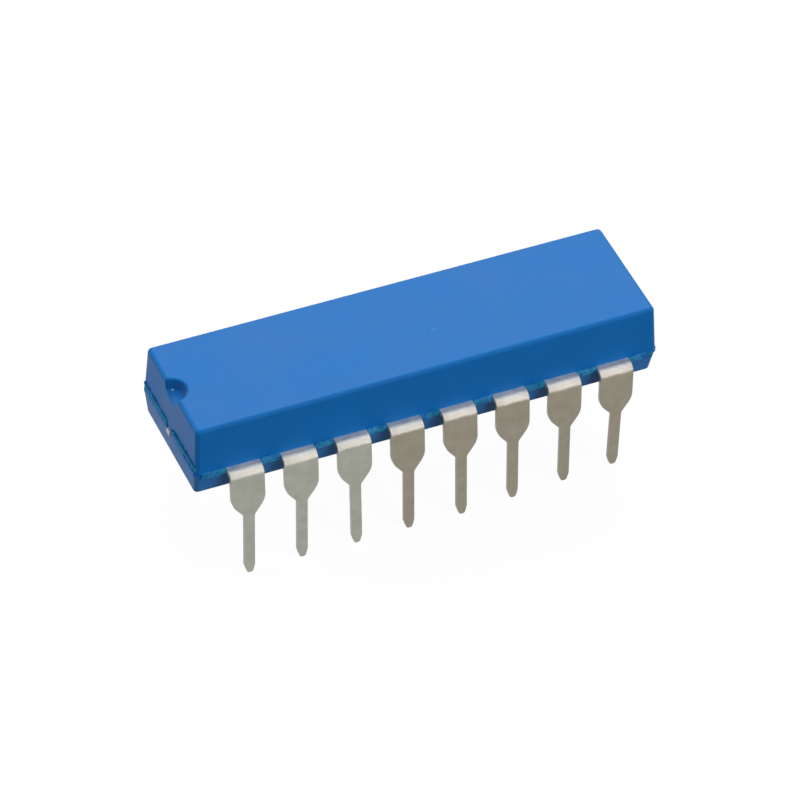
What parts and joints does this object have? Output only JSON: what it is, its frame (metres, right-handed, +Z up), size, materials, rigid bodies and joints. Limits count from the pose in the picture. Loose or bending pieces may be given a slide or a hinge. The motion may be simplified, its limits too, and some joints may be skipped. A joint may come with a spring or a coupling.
{
  "type": "resistor network",
  "caption": "Blue moulded dual in-line resistor network with two rows of shouldered, bent and tinned leads and a pin-one notch.",
  "frame": {"origin": "centre of the whole part's outline, on the surface that the lead tips stand on", "axes": "+X along the moulding away from the notched end, +Y from the front row (leads 1 to 8) to the rear row, +Z up from the lead tips to the top face"},
  "size_m": [0.0224, 0.0088, 0.008],
  "materials": {
    "moulding_resin": "matte",
    "alumina": "matte",
    "conductor_ink": "satin",
    "overglaze": "gloss",
    "resistor_ink": "satin",
    "solder": "satin",
    "tinned_lead": "satin"
  },
  "bodies": {
    "root": {"moulded_body": "moulding_resin", "ceramic_substrate": "alumina", "conductor_print": "conductor_ink", "overglaze": "overglaze", "resistor_film_1": "resistor_ink", "resistor_film_2": "resistor_ink", "resistor_film_3": "resistor_ink", "resistor_film_4": "resistor_ink", "resistor_film_5": "resistor_ink", "resistor_film_6": "resistor_ink", "resistor_film_7": "resistor_ink", "resistor_film_8": "resistor_ink", "solder_joint_1": "solder", "solder_joint_2": "solder", "solder_joint_3": "solder", "solder_joint_4": "solder", "solder_joint_5": "solder", "solder_joint_6": "solder", "solder_joint_7": "solder", "solder_joint_8": "solder", "solder_joint_9": "solder", "solder_joint_10": "solder", "solder_joint_11": "solder", "solder_joint_12": "solder", "solder_joint_13": "solder", "solder_joint_14": "solder", "solder_joint_15": "solder", "solder_joint_16": "solder", "lead_1": "tinned_lead", "lead_2": "tinned_lead", "lead_3": "tinned_lead", "lead_4": "tinned_lead", "lead_5": "tinned_lead", "lead_6": "tinned_lead", "lead_7": "tinned_lead", "lead_8": "tinned_lead", "lead_9": "tinned_lead", "lead_10": "tinned_lead", "lead_11": "tinned_lead", "lead_12": "tinned_lead", "lead_13": "tinned_lead", "lead_14": "tinned_lead", "lead_15": "tinned_lead", "lead_16": "tinned_lead", "tie_bar_stub_left": "tinned_lead", "tie_bar_stub_right": "tinned_lead"}
  },
  "joints": []
}
